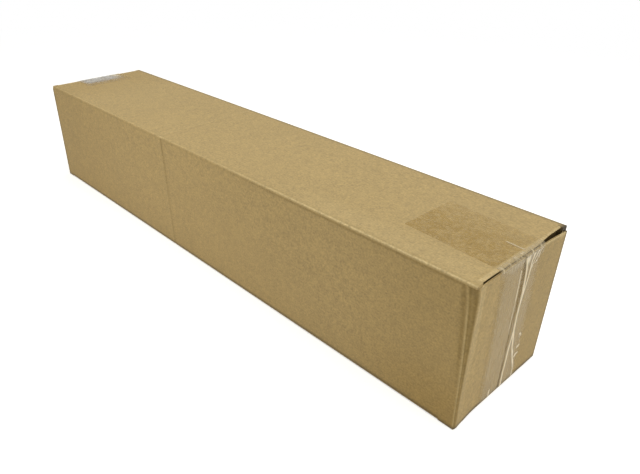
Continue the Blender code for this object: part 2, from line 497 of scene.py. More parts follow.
class Finish:
    """The nodes of one material or of the world."""

    def __init__(self, owner):
        owner.use_nodes = True
        self.owner = owner
        self.tree = owner.node_tree
        self.tree.nodes.clear()

    def node(self, kind, settings=None, sockets=None, out=0):
        """Adds a node, and gives one of its outputs where it has any."""
        node = self.tree.nodes.new(kind)
        for key, value in (settings or {}).items():
            setattr(node, key, value)
        for key, value in (sockets or {}).items():
            if isinstance(value, Value):
                self.tree.links.new(value.socket, node.inputs[key])
            else:
                node.inputs[key].default_value = value
        return Value(self, node.outputs[out]) if node.outputs else None

    def attribute(self, name):
        return self.node("ShaderNodeAttribute", {"attribute_name": name}, out="Fac")

    def noise(self, where, scale, detail=2.0, roughness=0.5):
        sockets = {"Vector": where, "Scale": scale, "Detail": detail, "Roughness": roughness}
        return self.node("ShaderNodeTexNoise", None, sockets)

    def ramp(self, value, low, high, to_low=0.0, to_high=1.0):
        sockets = {"Value": value, "From Min": low, "From Max": high, "To Min": to_low, "To Max": to_high}
        return self.node("ShaderNodeMapRange", {"interpolation_type": "SMOOTHSTEP"}, sockets)

    def mix(self, share, first, second):
        first, second = (c if isinstance(c, Value) else (*c, 1.0) for c in (first, second))
        return self.node("ShaderNodeMix", {"data_type": "RGBA"}, {0: share, 6: first, 7: second}, out=2)

    def scaled(self, colour, share):
        return self.node("ShaderNodeVectorMath", {"operation": "SCALE"}, {0: colour, "Scale": share})

    def stretched(self, where, scale):
        return self.node("ShaderNodeMapping", None, {"Vector": where, "Scale": scale})

    def bump(self, height, distance, strength, **under):
        sockets = {"Height": height, "Distance": distance, "Strength": strength, **under}
        return self.node("ShaderNodeBump", None, sockets)

    def put_out(self, kind, shader):
        self.node(kind, None, {"Surface": shader})
        return self.owner

    def surface(self, sockets):
        """Ends a material in one Principled shader."""
        return self.put_out("ShaderNodeOutputMaterial", self.node("ShaderNodeBsdfPrincipled", None, sockets))


def kraft_liner():
    """Unbleached liner: mottled, with fibres and flecks, rubbed light on crests and darkened by tape, with
    painted highlights on crests and ridges and painted shade in grooves, recesses, beside seams, along edges
    and on the long sides.
    """
    look = bpy.context.scene.carton_board
    paper = Finish(bpy.data.materials.new("kraft_liner"))
    where = paper.node("ShaderNodeTexCoord", out="Object")
    clouds = paper.noise(where, 24.0, 3.0)
    mottle = paper.noise(where, 230.0, 3.0, 0.6)
    grain = paper.noise(where, 720.0, 2.0, 0.6)
    fibres = paper.noise(paper.stretched(where, (260.0, 1300.0, 1300.0)), 1.0, 2.0, 0.6)
    dark_flecks = paper.ramp(paper.noise(where, 560.0, 1.0), 0.66, 0.74)
    pale_flecks = paper.ramp(paper.noise(paper.stretched(where, (420.0, 900.0, 900.0)), 1.0, 1.0), 0.67, 0.75)
    tone = 0.16 + 0.12 * clouds + 0.40 * mottle + 0.80 * grain + 0.36 * fibres
    tone = tone - 0.12 * dark_flecks + 0.10 * pale_flecks

    across = paper.attribute("tape_across")
    over = paper.node("ShaderNodeMath", {"operation": "ABSOLUTE"}, {0: across})
    ragged = 0.02 * (paper.noise(where, 300.0, 2.0) - 0.5)
    taped = paper.ramp(over + ragged, 1.0, 0.98) * paper.ramp(paper.attribute("tape_along"), 0.0, 0.0006)
    patches = paper.ramp(paper.noise(where, 310.0, 3.0, 0.6), 0.38, 0.60, 0.42, 1.0)
    # Besides the darkening by tape, this adds painted shade on the long sides
    wet = taped * patches * paper.ramp(across, -0.2, 1.0, 1.0, 0.5) + paper.attribute("tanned")
    flat = paper.mix(wet, look.paper, look.wetted)

    pale_noise = paper.ramp(paper.noise(where, 240.0, 4.0, 0.7), 0.22, 0.52)
    dark_noise = paper.ramp(paper.noise(where, 330.0, 3.0, 0.7), 0.20, 0.60, 0.65, 1.0)
    # The next two mixes paint crushed paper with painted shade, then wear with painted highlights
    pressed = paper.mix(paper.attribute("pressed") * dark_noise, flat, look.pressed)
    worn = paper.mix(paper.attribute("worn") * pale_noise, pressed, look.worn)
    # Darker for dirt and painted contact shade at the feet, for painted shade in the corner slot and under
    # the inner folds' lips, and along some edges
    colour = paper.scaled(worn, tone * (1 - 0.9 * paper.attribute("dirt")))

    turn = 2 * math.pi / look.flute_pitch
    flutes = paper.node("ShaderNodeMath", {"operation": "SINE"}, {0: turn * paper.attribute("girth")})
    washboard = paper.bump(flutes, 0.00002, 0.35)
    relief = paper.bump(grain + 0.6 * fibres, 0.00012, 0.35, Normal=washboard)
    roughness = 0.66 + 0.16 * mottle
    return paper.surface(
        {"Base Color": colour, "Roughness": roughness, "Specular IOR Level": 0.5, "Normal": relief}
    )


def kraft_medium():
    """The fluted paper between the liners, coarser and darker."""
    look = bpy.context.scene.carton_board
    paper = Finish(bpy.data.materials.new("kraft_medium"))
    where = paper.node("ShaderNodeTexCoord", out="Object")
    grain = paper.noise(where, 700.0, 4.0, 0.65)
    colour = paper.scaled(tuple(look.fluting), 0.7 + 0.6 * grain)
    relief = paper.bump(grain, 0.0001, 0.4)
    return paper.surface(
        {"Base Color": colour, "Roughness": 0.85 + 0.1 * grain, "Specular IOR Level": 0.15, "Normal": relief}
    )


def clear_film():
    """Clear packing film: it glares at a low angle, is milky where lifted and white along its pleats."""
    look = bpy.context.scene.carton_tape
    refraction = 1.48
    film = Finish(bpy.data.materials.new("clear_film"))
    where = film.node("ShaderNodeTexCoord", out="Object")
    outside = 1 - film.node("ShaderNodeNewGeometry", out="Backfacing")
    low_angle = film.ramp(film.node("ShaderNodeFresnel", None, {"IOR": refraction}), 0.05, 0.20)
    streaks = film.noise(film.stretched(where, (420.0, 420.0, 60.0)), 1.0, 2.0)
    pleat = film.attribute("pleat")
    lifted = film.attribute("lifted") * film.ramp(film.noise(where, 150.0, 3.0, 0.6), 0.20, 0.60, 0.6, 1.0)
    glare = (look.haze + look.glare * low_angle) * film.attribute("glare") * (0.8 + 0.4 * streaks)
    cover = outside * (glare + lifted) + look.pleat_cover * pleat
    plain = film.mix(film.attribute("milky"), look.film_colour, look.lifted_colour)
    colour = film.mix(film.ramp(pleat, 0.05, 0.4), plain, look.pleat_colour)
    roughness = 0.20 + 0.16 * streaks
    relief = film.bump(film.noise(where, 120.0, 2.0), 0.0004, 0.25)
    return film.surface(
        {"Base Color": colour, "Roughness": roughness, "IOR": refraction, "Alpha": cover, "Normal": relief}
    )


def give(piece, finish):
    """Gives a piece a finish, which is made at its first use and is named as its function."""
    piece.data.materials.clear()
    piece.data.materials.append(bpy.data.materials.get(finish.__name__) or finish())


def settle(piece, level=None):
    """Moves a piece as the carton has settled out of square, as at one level where that is given."""
    for vert in piece.data.vertices:
        x, y, z = vert.co
        right = clamp((x / END + 1) / 2)
        back = clamp((y / HALF_WIDTH + 1) / 2)
        up = clamp(((z if level is None else level) - BASE) / (TOP - BASE))
        weights = {"right": right, "left": 1 - right, "back": back, "front": 1 - back}
        weights.update({"top": up, "bottom": 1 - up})
        for places, move in SET.items():
            vert.co += math.prod(weights[place] for place in places) * MM * Vector(move)
        vert.co.z += BACK_EDGE_RISE * MM * 4 * right * (1 - right) * back**2 * up**2
    piece.data.update()


def fluted_board(name, columns, rows, waves, place, spacing, wear=None):
    """Two liners over a fluted sheet.

    place(x, y, depth) gives a point at two shares of the board and a depth from its first face. The flutes
    follow each other along the spacing axis. The last argument, where given, gives for (y, z) the first
    liner's shares of paling, of painted shade, of darkening under tape, and of dirt with painted contact
    shade.
    """
    look = bpy.context.scene.carton_board
    sheets = []
    for depth in (look.liner / 2, look.board - look.liner / 2):
        liner = unit_sheet(f"{name}_liner", columns, rows)
        reshape(liner, lambda x, y, _: place(x, y, depth))
        places = [vert.co.copy() for vert in liner.data.vertices]
        paint(liner, "girth", [(getattr(co, spacing),) for co in places])
        if wear and not sheets:
            paint(liner, "worn pressed tanned dirt", [wear(co.y, co.z) for co in places])
        finish_with(liner, "SOLIDIFY", thickness=look.liner, offset=0)
        give(liner, kraft_liner)
        sheets.append(liner)
    medium = fluted_sheet(f"{name}_medium", waves)
    room = look.board - 2 * look.liner - look.medium
    reshape(medium, lambda x, y, up: place(x, y, look.board / 2 + up * room))
    finish_with(medium, "SOLIDIFY", thickness=look.medium, offset=0)
    give(medium, kraft_medium)
    sheets.append(medium)
    for sheet in sheets:
        close_outward(sheet)
    return join(sheets, name)


def finish_fold(fold, names, rows):
    """Marks, settles and smooths a fold."""
    paint(fold, names, rows)
    settle(fold)
    close_outward(fold)
    shade(fold, math.radians(40))
    give(fold, kraft_liner)


def girth_of(y, z):
    """Distance round the sleeve, continuous over its folds."""
    if z > MIDDLE or y > LAP_FACE + NEAR:
        if y > 0:
            return (z - TOP) + (BACK - y)
        return 2 * HALF_WIDTH + (TOP - z) - (y - FRONT)
    return 2 * HALF_WIDTH + (TOP - BASE) + (y - FRONT) - (z - BASE)


def tape_on_sleeve(x, y, z):
    """How far across the tape a point lies, in half widths, and how far inside the tail's end."""
    end = "right" if x > 0 else "left"
    panel = "top" if z > MIDDLE else "bottom"
    length, far_middle = TAILS[end, panel]
    inside = abs(x) - (END - length)
    middle = lerp(far_middle, TAPE_MIDDLE[end][panel], inside / length)
    return (y - middle) / (bpy.context.scene.carton_tape.width / 2), inside


def tape_on_end(end, y, z):
    """How far from the tape's middle a point of an end lies, in half widths."""
    return abs(y - tape_middle(end, z)) / (bpy.context.scene.carton_tape.width / 2)


def seam_stain(end, y, z):
    """How much painted shade darkens the taped edges beside a seam, for the dark gap between the flaps. It is
    wider in the upper half.
    """
    half = lerp(0.0009, 0.0019, ease(0.055, 0.068, z))
    return ease(half + 0.0007, half - 0.0005, abs(y - seam_at(end, z)))


def rub_streaks(end, side, y, z):
    """Pale upright streaks on the end, near its crushed fold."""
    if (end, side) != CRUSHED:
        return 0.0
    run = HALF_WIDTH + y
    wave = noise.noise(Vector((run * 330, z * 9, 5.3)))
    return 0.7 * max(wave, 0.0) * ease(0.024, 0.010, run) * ease(0.020, 0.050, z)


def front_tan(x, z):
    """How much darker the long sides are made: painted shade towards the right end, most in the lower right
    corner, and darker towards the left end as well.
    """
    right = 0.30 * ease(0.15, 0.25, x) + 0.45 * ease(0.16, 0.26, x) * ease(0.05, 0.01, z)
    return right + 0.15 * ease(-0.10, -0.20, x)


def outer_flap_heights(end, side):
    """Z of an outer flap's lower edge, and of its upper edge at the fold."""
    low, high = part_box(f"{end}_{side}_outer_flap")
    return low.z - FLAP_DROP, high.z


class CARTON_OT_sleeve(bpy.types.Operator):
    """Folds the sleeve from one sheet: four panels and the glue lap, with slots cut at the ends"""

    bl_idname = "carton.sleeve"
    bl_label = "Sleeve"

    columns, rows, lap_rows, fold_segments = 96, 8, 3, 5
    folds = ((BACK, TOP), (FRONT, TOP), (FRONT, BASE), (LAP_FACE, BASE))
    beside_folds = (0.0007, 0.0015, 0.0028)
    on_face = 0.0005
    # How much darker the back top edge is, and the bottom edges, where the darkening is dirt and painted
    # contact shade
    back_edge_dirt = 0.45
    bottom_edge_dirt = 0.85

    def execute(self, context):
        look = context.scene.carton_board
        radius = look.fold_radius
        deselect_all()
        bpy.ops.mesh.primitive_grid_add(
            x_subdivisions=self.columns,
            y_subdivisions=self.rows,
            size=1,
            location=(0, BACK, (TOP + BACK_CUT) / 2),
            rotation=(-math.pi / 2, 0, 0),
        )
        reach = max(flap.corner_end for flap in OUTER.values())
        bpy.context.object.scale = (2 * reach, TOP - BACK_CUT, 1)
        sleeve = name_new("sleeve_board")
        with edit_mode(sleeve):
            pick(sleeve, "EDGE", lambda edge: all(abs(v.co.z - TOP) < NEAR for v in edge.verts))
            extrude_in_steps((0, FRONT - BACK, 0), self.rows)
            extrude_in_steps((0, 0, BASE - TOP), self.rows)
            extrude_in_steps((0, LAP_FACE - FRONT, 0), self.rows)
            extrude_in_steps((0, 0, LAP_TOP - BASE), self.lap_rows)
            pick(sleeve, "EDGE", self.on_fold)
            bpy.ops.mesh.bevel(offset=radius, segments=self.fold_segments, affect="EDGES")
            self.cut_lines(radius)
            pick(sleeve, "FACE", self.beyond_the_cut)
            bpy.ops.mesh.delete(type="FACE")
            pick(sleeve, "VERT", lambda vert: abs(self.past_crease(vert)) < NEAR)
            bpy.ops.transform.shrink_fatten(value=-look.crease_depth)

        self.bow_panels(sleeve, look.bow)
        self.mark(sleeve, radius)
        outer_count = len(sleeve.data.vertices)
        finish_with(sleeve, "SOLIDIFY", thickness=look.board, offset=-1)
        self.mark_tape(sleeve, outer_count)
        settle(sleeve)
        shade(sleeve)
        give(sleeve, kraft_liner)
        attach(sleeve, "sleeve")
        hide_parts("top_panel", "bottom_panel", "front_panel", "back_panel", "joint_lap")
        return {"FINISHED"}

    def on_fold(self, edge):
        places = [vert.co for vert in edge.verts]
        return any(all(abs(co.y - y) < NEAR and abs(co.z - z) < NEAR for co in places) for y, z in self.folds)

    def past_crease(self, vert):
        """How far a vertex lies past the plane of the crease."""
        return (vert.co - CREASE[0]).dot(CREASE_NORMAL)

    def cut_lines(self, radius):
        """Lines beside the folds that keep the panels flat, and the lines of the slots and the crease."""
        for beside in (radius + gap for gap in self.beside_folds):
            for y in (FRONT + beside, BACK - beside):
                cut_line((0, y, 0), (0, 1, 0))
            for z in (TOP - beside, BASE + beside):
                cut_line((0, 0, z), (0, 0, 1))
        for y in (-INNER_HALF, INNER_HALF):
            cut_line((0, y, 0), (0, 1, 0))
        for end, facing in ENDS.items():
            for side in SIDES:
                for z in outer_flap_heights(end, side):
                    cut_line((0, 0, z), (0, 0, 1))
                cut_line((facing * OUTER[end, side].corner_end, 0, 0), (1, 0, 0))
            for x in (END - FOLD_RUN, abs(PIVOT[f"{end}_top_flap"].x), LAP_END):
                cut_line((facing * x, 0, 0), (1, 0, 0))
        for shift in CREASE_SHOULDERS:
            cut_line(CREASE[0] + CREASE_NORMAL * shift, CREASE_NORMAL)

    def beyond_the_cut(self, face):
        """Whether a face lies past the end of its panel, corner or lap."""
        x, y, z = face.calc_center_median()
        end = "right" if x > 0 else "left"
        side = "back" if y > 0 else "front"
        low, high = outer_flap_heights(end, side)
        if abs(y - LAP_FACE) < NEAR or (INNER_HALF < y < LAP_FACE and z < MIDDLE):
            limit = LAP_END
        elif abs(abs(y) - HALF_WIDTH) < 0.0015 and low < z < high:
            limit = END - FOLD_RUN
        elif abs(y) < INNER_HALF:
            limit = abs(PIVOT[f"{end}_top_flap"].x)
        else:
            limit = OUTER[end, side].corner_end
        return abs(x) > limit

    def bow_panels(self, sleeve, most):
        """Lets the top and the sides swell and sink a little, and leaves folds and ends as they are."""
        for vert in sleeve.data.vertices:
            x, y, z = vert.co
            wave = most * noise.noise(Vector((x * 7, y * 11, z * 11 + 3.7)))
            off_ends = ease(0.03, 0.10, END - abs(x))
            if abs(z - TOP) < self.on_face:
                vert.co.z += wave * (off_ends * ease(0.004, 0.03, HALF_WIDTH - abs(y)))
            elif abs(abs(y) - HALF_WIDTH) < self.on_face and abs(z - BASE) >= self.on_face:
                off_folds = ease(0.004, 0.03, min(TOP - z, z - BASE))
                vert.co.y += wave * (off_ends * off_folds) * (1 if y > 0 else -1)
        sleeve.data.update()

    def mark(self, sleeve, radius):
        """Stores the sleeve's wear and painted highlights, its painted shade by the folds, in the crease, on
        the sides and in the corner slot, its darker edges with dirt, and the distance round it.
        """
        rows = []
        for vert in sleeve.data.vertices:
            x, y, z = vert.co
            away = self.past_crease(vert)
            out = Vector((abs(y) - (HALF_WIDTH - radius), abs(z - MIDDLE) - ((TOP - BASE) / 2 - radius)))
            on_top = out.y > -NEAR and z > MIDDLE
            # The front top crest is made paler, for wear and a painted highlight, and a painted shade line
            # lies just under it, on the front and more faintly on the top; both grow towards the right end
            share = 0.35 + 0.65 * ease(0.0, 0.16, x) if z > MIDDLE and y < 0 else 0.0
            edge_darkening = self.bottom_edge_dirt if z < MIDDLE else self.back_edge_dirt if y > 0 else 0.0
            lightened = dark = dirt = 0.0
            if min(out) > -NEAR:
                angle = math.degrees(math.atan2(out.y, out.x))
                lightened = (share + 0.6 * bell(away, 0.003)) * bell(angle - 50, 26)
                dirt = edge_darkening * ease(-5, 30, angle) if z < MIDDLE else edge_darkening
            elif out.x > -NEAR:
                dark = 0.62 * share * bell(-out.y - 0.0010, 0.0011)
                dirt = edge_darkening * ease(-0.0024, -0.0003, out.y)
            elif on_top:
                dark = 0.30 * share * bell(-out.x - 0.0008, 0.0008)
                dirt = edge_darkening * ease(-0.0022, -0.0004, out.x)
                lightened = 0.13 * ease(0.08, 0.16, x) * ease(-0.026, -0.034, y)
            # The crease round the sleeve gets a painted shade line in it and a painted highlight just beside
            # it
            creased = 0.10 if on_top else lerp(0.35, 0.75, ease(0.05, 0.10, z))
            dark = max(dark, creased * bell(away, 0.0013))
            lightened = max(lightened, 0.10 * bell(away - 0.0028, 0.0014))
            # The back top corner beside the slot is painted dark: painted shade where the carton's dark
            # inside shows
            if y > INNER_HALF - NEAR and z > TOP - 0.006:
                dirt = max(dirt, ease(PIVOT["right_top_flap"].x, OUTER["right", "back"].corner_end, x))
            # The sides get painted shade; the top is darker towards its left end
            darkening = 0.30 * ease(-0.17, -0.245, x) if on_top else front_tan(x, z)
            rows.append((girth_of(y, z), lightened, dark, darkening, dirt))
        paint(sleeve, "girth worn pressed tanned dirt", rows)

    def mark_tape(self, sleeve, outer_count):
        """Stores where the tape lies on the outer faces. Solidify adds the inner ones after them."""
        rows = []
        for index, vert in enumerate(sleeve.data.vertices):
            across, inside = tape_on_sleeve(*vert.co)
            rows.append((across if index < outer_count else NOT_TAPED, inside))
        paint(sleeve, "tape_across tape_along", rows)


def outer_place(end, side, depth, run, z):
    """A point of an outer flap or fold: depth from the end face, run from the side face, both inwards."""
    return Vector((ENDS[end] * (END - depth), SIDES[side] * (HALF_WIDTH - run), z))


def outer_height(end, side, share, run):
    """Z at a share of a flap's height. The flap's top edge rises towards the seam."""
    low, high = outer_flap_heights(end, side)
    from_seam = 1 - max(run, 0.0) / HALF_WIDTH
    return lerp(low, high + OUTER[end, side].seam_rise * (1 - from_seam**2), share)


def corner_bulge(end, side, run, share):
    """How far the crushed corner of the right end stands out, most at its foot."""
    if (end, side) != CRUSHED:
        return 0.0
    fold = 0.00085 * ease(1.0, 0.9, share) * bell(run - 0.0015, 0.0045)
    foot = 0.0008 * ease(0.25, 0.0, share) * bell(run - 0.008, 0.009)
    return fold + foot


def edge_crush(share):
    """How much an outer flap is flattened near its top and bottom edges, at a share of its height."""
    return max(0.66 * ease(0.94, 1.0, share), 0.3 * ease(0.04, 0.0, share))


class CARTON_OT_outer_flaps(bpy.types.Operator):
    """Makes the four outer flaps, each of two liners over a fluted sheet"""

    bl_idname = "carton.outer_flaps"
    bl_label = "Outer Flaps"

    columns, rows = 56, 60

    def execute(self, context):
        for end, side in product(ENDS, SIDES):
            self.make(context.scene.carton_board, end, side)
        return {"FINISHED"}

    def make(self, look, end, side):
        low, high = outer_flap_heights(end, side)
        toward = SIDES[side]

        def place(run_share, height_share, depth):
            seam = seam_at(end, lerp(low, high, height_share)) + toward * SEAM_GAP / 2
            run = lerp(FOLD_RUN, HALF_WIDTH - toward * seam, run_share)
            z = outer_height(end, side, height_share, run)
            depth = depth * (1 - edge_crush(height_share)) - corner_bulge(end, side, run, height_share)
            return outer_place(end, side, depth, run, z)

        # Paler along the top edge and in streaks; painted shade beside the seam and towards the folds; darker
        # under the tape; dirt and painted contact shade at the foot
        def wear(y, z):
            below_top = outer_height(end, side, 1.0, HALF_WIDTH - abs(y)) - z
            cut_edge = 0.9 * ease(0.0010, 0.0, below_top) * ease(-0.030, -0.022, y)
            shaded = OUTER[end, side].shade * ease(0.010, 0.024, abs(y))
            under_tape = 0.35 * ease(1.0, 0.8, tape_on_end(end, y, z))
            at_foot = 0.75 * ease(0.0034, 0.0008, z - low)
            lightened = max(cut_edge, rub_streaks(end, side, y, z))
            return lightened, max(0.8 * seam_stain(end, y, z), shaded), under_tape, at_foot

        name = f"{end}_{side}_outer_flap_board"
        waves = round((high - low) / look.flute_pitch)
        flap = fluted_board(name, self.columns, self.rows, waves, place, "z", wear)
        settle(flap)
        shade(flap)
        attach(flap, f"{end}_{side}_flap")
        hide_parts(f"{end}_{side}_outer_flap")


class CARTON_OT_outer_folds(bpy.types.Operator):
    """Makes the scored folds between the sleeve and the outer flaps"""

    bl_idname = "carton.outer_folds"
    bl_label = "Outer Folds"

    outline_points = 48
    steps = 30
    bend = 0.0055  # a distance from the corner, for two places that are worked out and not used

    def execute(self, context):
        for end, side in product(ENDS, SIDES):
            self.make(context.scene.carton_board, end, side)
        return {"FINISHED"}

    def crushed_outline(self, t):
        """The right front fold, as depth, run, painted highlight and painted shade: two bends that run
        together downwards.
        """
        bend = 0.4 + 5.0 * t**2
        turn = 1.6 + 1.2 * t
        groove = ease(0.20, 0.60, t)
        light = 0.40 - 0.34 * ease(0.78, 0.95, t)
        pale_end = 0.45 * ease(0.55, 0.85, t)
        # The third column paints highlights on the ridges and at the end face's edge; the fourth paints shade
        # in the groove and on the facet
        return (
            (10.0, 0.0, 0, 0),
            (bend + 4.4, 0.0, 0, 0.20 * groove),
            (bend + 3.2, 0.10 * groove, 0, 0.62 * groove),
            (bend + 2.2, 0.14 * groove, 0, 0.72 * groove),
            (bend + 1.3, 0.05 * groove, 0, 0.40 * groove),
            (bend + 0.3, -0.03, light, 0),
            (0.86 * bend, 0.14 * turn, 0, 0.95),
            (0.66 * bend, 0.36 * turn, 0, 0.65),
            (0.45 * bend, 0.58 * turn, 0, 0.85),
            (0.24 * bend, 0.78 * turn, 0, 1.0),
            (0.06 * bend + 0.06, 0.98 * turn, 0, 0.45),
            (0.02, turn + 0.9, 0.1, 0.12),
            (-0.02, turn + 2.2, pale_end, 0),
            (0.0, turn + 3.6, 0.6 * pale_end, 0),
            (0.0, 8.6, 0.05, 0),
            (0.0, 10.0, 0, 0),
        )

    def plain_outline(self, _):
        """The other folds: a small round between two flat runs."""
        radius = 1.2
        turns = [math.radians(15 * step) for step in range(7)]
        # The round's crest is paler: wear and a painted highlight
        rounded = [
            (radius - radius * math.sin(a), radius - radius * math.cos(a), 0.4 * math.sin(2 * a), 0)
            for a in turns
        ]
        before = [(10.0, 0.0, 0, 0), (7.0, 0.0, 0, 0), (4.2, 0.03, 0, 0.15), (2.3, 0.0, 0, 0.1)]
        after = [(run, depth, lightened, dark) for depth, run, lightened, dark in reversed(before)]
        return (*before, *rounded, *after)

    def inner_outline(self, thick, crush):
        """The inner face from the flap to the panel, as depth and run. The flap's edges are crushed."""
        flat = thick * (1 - crush)
        return (
            (flat, 10.0),
            (flat, 7.0),
            (lerp(flat, thick, 0.4), 4.5),
            (thick, 3.2),
            (thick + 0.25, thick + 0.25),
            (3.2, thick),
            (4.5, thick),
            (7.0, thick),
            (10.0, thick),
        )

    def section(self, end, side, thick, share):
        """The fold's section at a share of its height, in millimetres."""
        outline = self.crushed_outline if (end, side) == CRUSHED else self.plain_outline
        inner = self.inner_outline(thick, edge_crush(share))
        unworn = [Vector((*point, 0, 0)) for point in inner]
        return smooth_path(outline(share), self.outline_points) + unworn

    def make(self, look, end, side):
        thick = look.board / MM
        sections = [self.section(end, side, thick, step / self.steps) for step in range(self.steps + 1)]
        size = len(sections[0])
        flap = OUTER[end, side]
        fold = section_bar(f"{end}_{side}_outer_fold", size, self.steps)
        rows = []
        for vert in fold.data.vertices:
            corner, share = corner_of(vert, size), vert.co.z
            depth, run, lightened, dark = sections[round(share * self.steps)][corner]
            z = outer_height(end, side, share, run * MM)
            out = corner_bulge(end, side, run * MM, share) * ease(9.5, 6.0, depth)
            vert.co = outer_place(end, side, depth * MM - out, run * MM, z)
            on_flap = ease(1.0, 3.0, run)
            at_top = ease(0.97, 1.0, share) if side == "back" else 0.0
            # Darker at the foot: dirt and painted contact shade
            at_foot = 0.75 * ease(0.035, 0.008, share)
            # The folds listed in the table are made darker, without their pale crest
            at_fold = flap.fold_dirt * ease(3.8, 1.6, max(run, depth))
            # The top of the right back fold is painted dark too: painted shade beside the corner slot
            tip = at_top * ease(2.6, 1.2, run) * ease(5.0, 3.0, depth) if end == "right" else 0.0
            crest = 0.0 if flap.fold_dirt else lightened
            worn = max(crest, 0.9 * at_top * on_flap, on_flap * rub_streaks(end, side, vert.co.y, z))
            # Painted shade on the front folds, as on the sides
            darkening = front_tan(vert.co.x, z) * (1 - on_flap) if side == "front" else 0.0
            # Painted shade: the crushed fold's groove and facet, and the flap's painted shade on its side
            pressed = max(dark, flap.shade * on_flap)
            rows.append((worn, pressed, darkening, max(at_fold, at_foot, tip), vert.co.z))
        finish_fold(fold, "worn pressed tanned dirt girth", rows)
        outer_place(end, side, self.bend, 0, MIDDLE)
        outer_place(end, side, 0, self.bend, MIDDLE)
        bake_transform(fold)


def lean(reach, rise):
    """A point of a leaning inner flap, from its pivot: reach down it, and rise from its inner face."""
    sine, cosine = math.sin(INNER_TILT), math.cos(INNER_TILT)
    return rise * cosine - reach * sine, -rise * sine - reach * cosine


def inner_place(end, panel, along, up, y=0.0):
    """A point of an inner flap or fold, from its pivot: along X outwards, up away from the carton."""
    pivot = PIVOT[f"{end}_{panel}_flap"]
    return Vector((pivot.x + ENDS[end] * along, y, pivot.z + PANELS[panel] * up))


def inner_crush(end, panel, y):
    """The share of its thickness that an inner flap has lost beside its fold."""
    return lerp(*INNER[end, panel].crush, (y / INNER_HALF + 1) / 2)


class CARTON_OT_inner_flaps(bpy.types.Operator):
    """Makes the four inner flaps, each of two liners over a fluted sheet"""

    bl_idname = "carton.inner_flaps"
    bl_label = "Inner Flaps"

    columns, rows = 12, 24
    crush_end = 0.016  # how far from the pivot a flap is pressed thinner

    def execute(self, context):
        for end, panel in product(ENDS, PANELS):
            self.make(context.scene.carton_board, end, panel)
        return {"FINISHED"}

    def make(self, look, end, panel):
        def place(reach_share, side_share, rise):
            reach = lerp(INNER_FOLD_RUN, INNER_REACH, reach_share)
            y = lerp(-INNER_HALF, INNER_HALF, side_share)
            crush = inner_crush(end, panel, y) * ease(self.crush_end, INNER_FOLD_RUN, reach)
            return inner_place(end, panel, *lean(reach, rise + (look.board - rise) * crush), y)

        name = f"{end}_{panel}_inner_flap_board"
        waves = round(2 * INNER_HALF / look.flute_pitch)
        flap = fluted_board(name, self.columns, self.rows, waves, place, "y")
        settle(flap, PIVOT[f"{end}_{panel}_flap"].z)
        shade(flap)
        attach(flap, f"{end}_{panel}_flap")
        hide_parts(f"{end}_{panel}_inner_flap")


